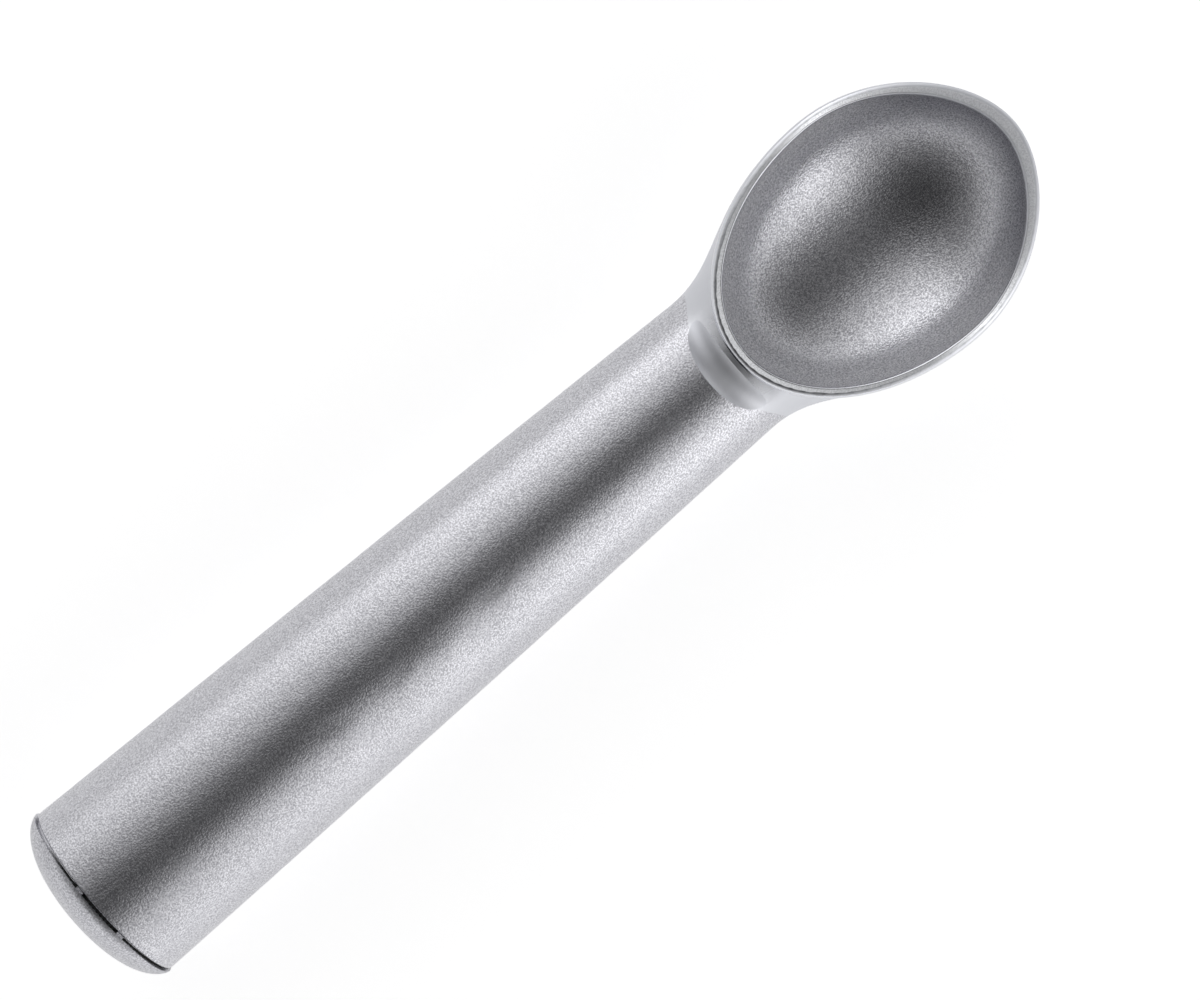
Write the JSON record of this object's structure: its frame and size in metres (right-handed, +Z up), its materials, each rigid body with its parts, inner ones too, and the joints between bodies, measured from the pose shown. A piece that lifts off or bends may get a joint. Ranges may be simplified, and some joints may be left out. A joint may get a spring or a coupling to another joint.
{
  "type": "ice cream scoop",
  "caption": "Cast ice cream scoop with an egg-shaped bowl, a cove behind its lip, and a hollow tapered handle that holds heat-carrying fluid behind a domed cap.",
  "frame": {"origin": "centre of the bounding box's bottom face, on the level surface that the scoop lies on with its bowl up", "axes": "+X along the handle towards the bowl's tip, +Y across the bowl, +Z up out of the bowl's mouth"},
  "size_m": [0.1778, 0.0402, 0.03],
  "materials": {
    "cast_aluminium": "satin, with a polished neck and lip",
    "cap_aluminium": "satin",
    "seal_rubber": "matt black",
    "heat_fluid": "clear fluid, not seen from outside"
  },
  "bodies": {
    "root": {"scoop_body": "cast_aluminium", "end_cap": "cap_aluminium", "cap_seal": "seal_rubber", "heat_fluid": "heat_fluid"}
  },
  "joints": []
}
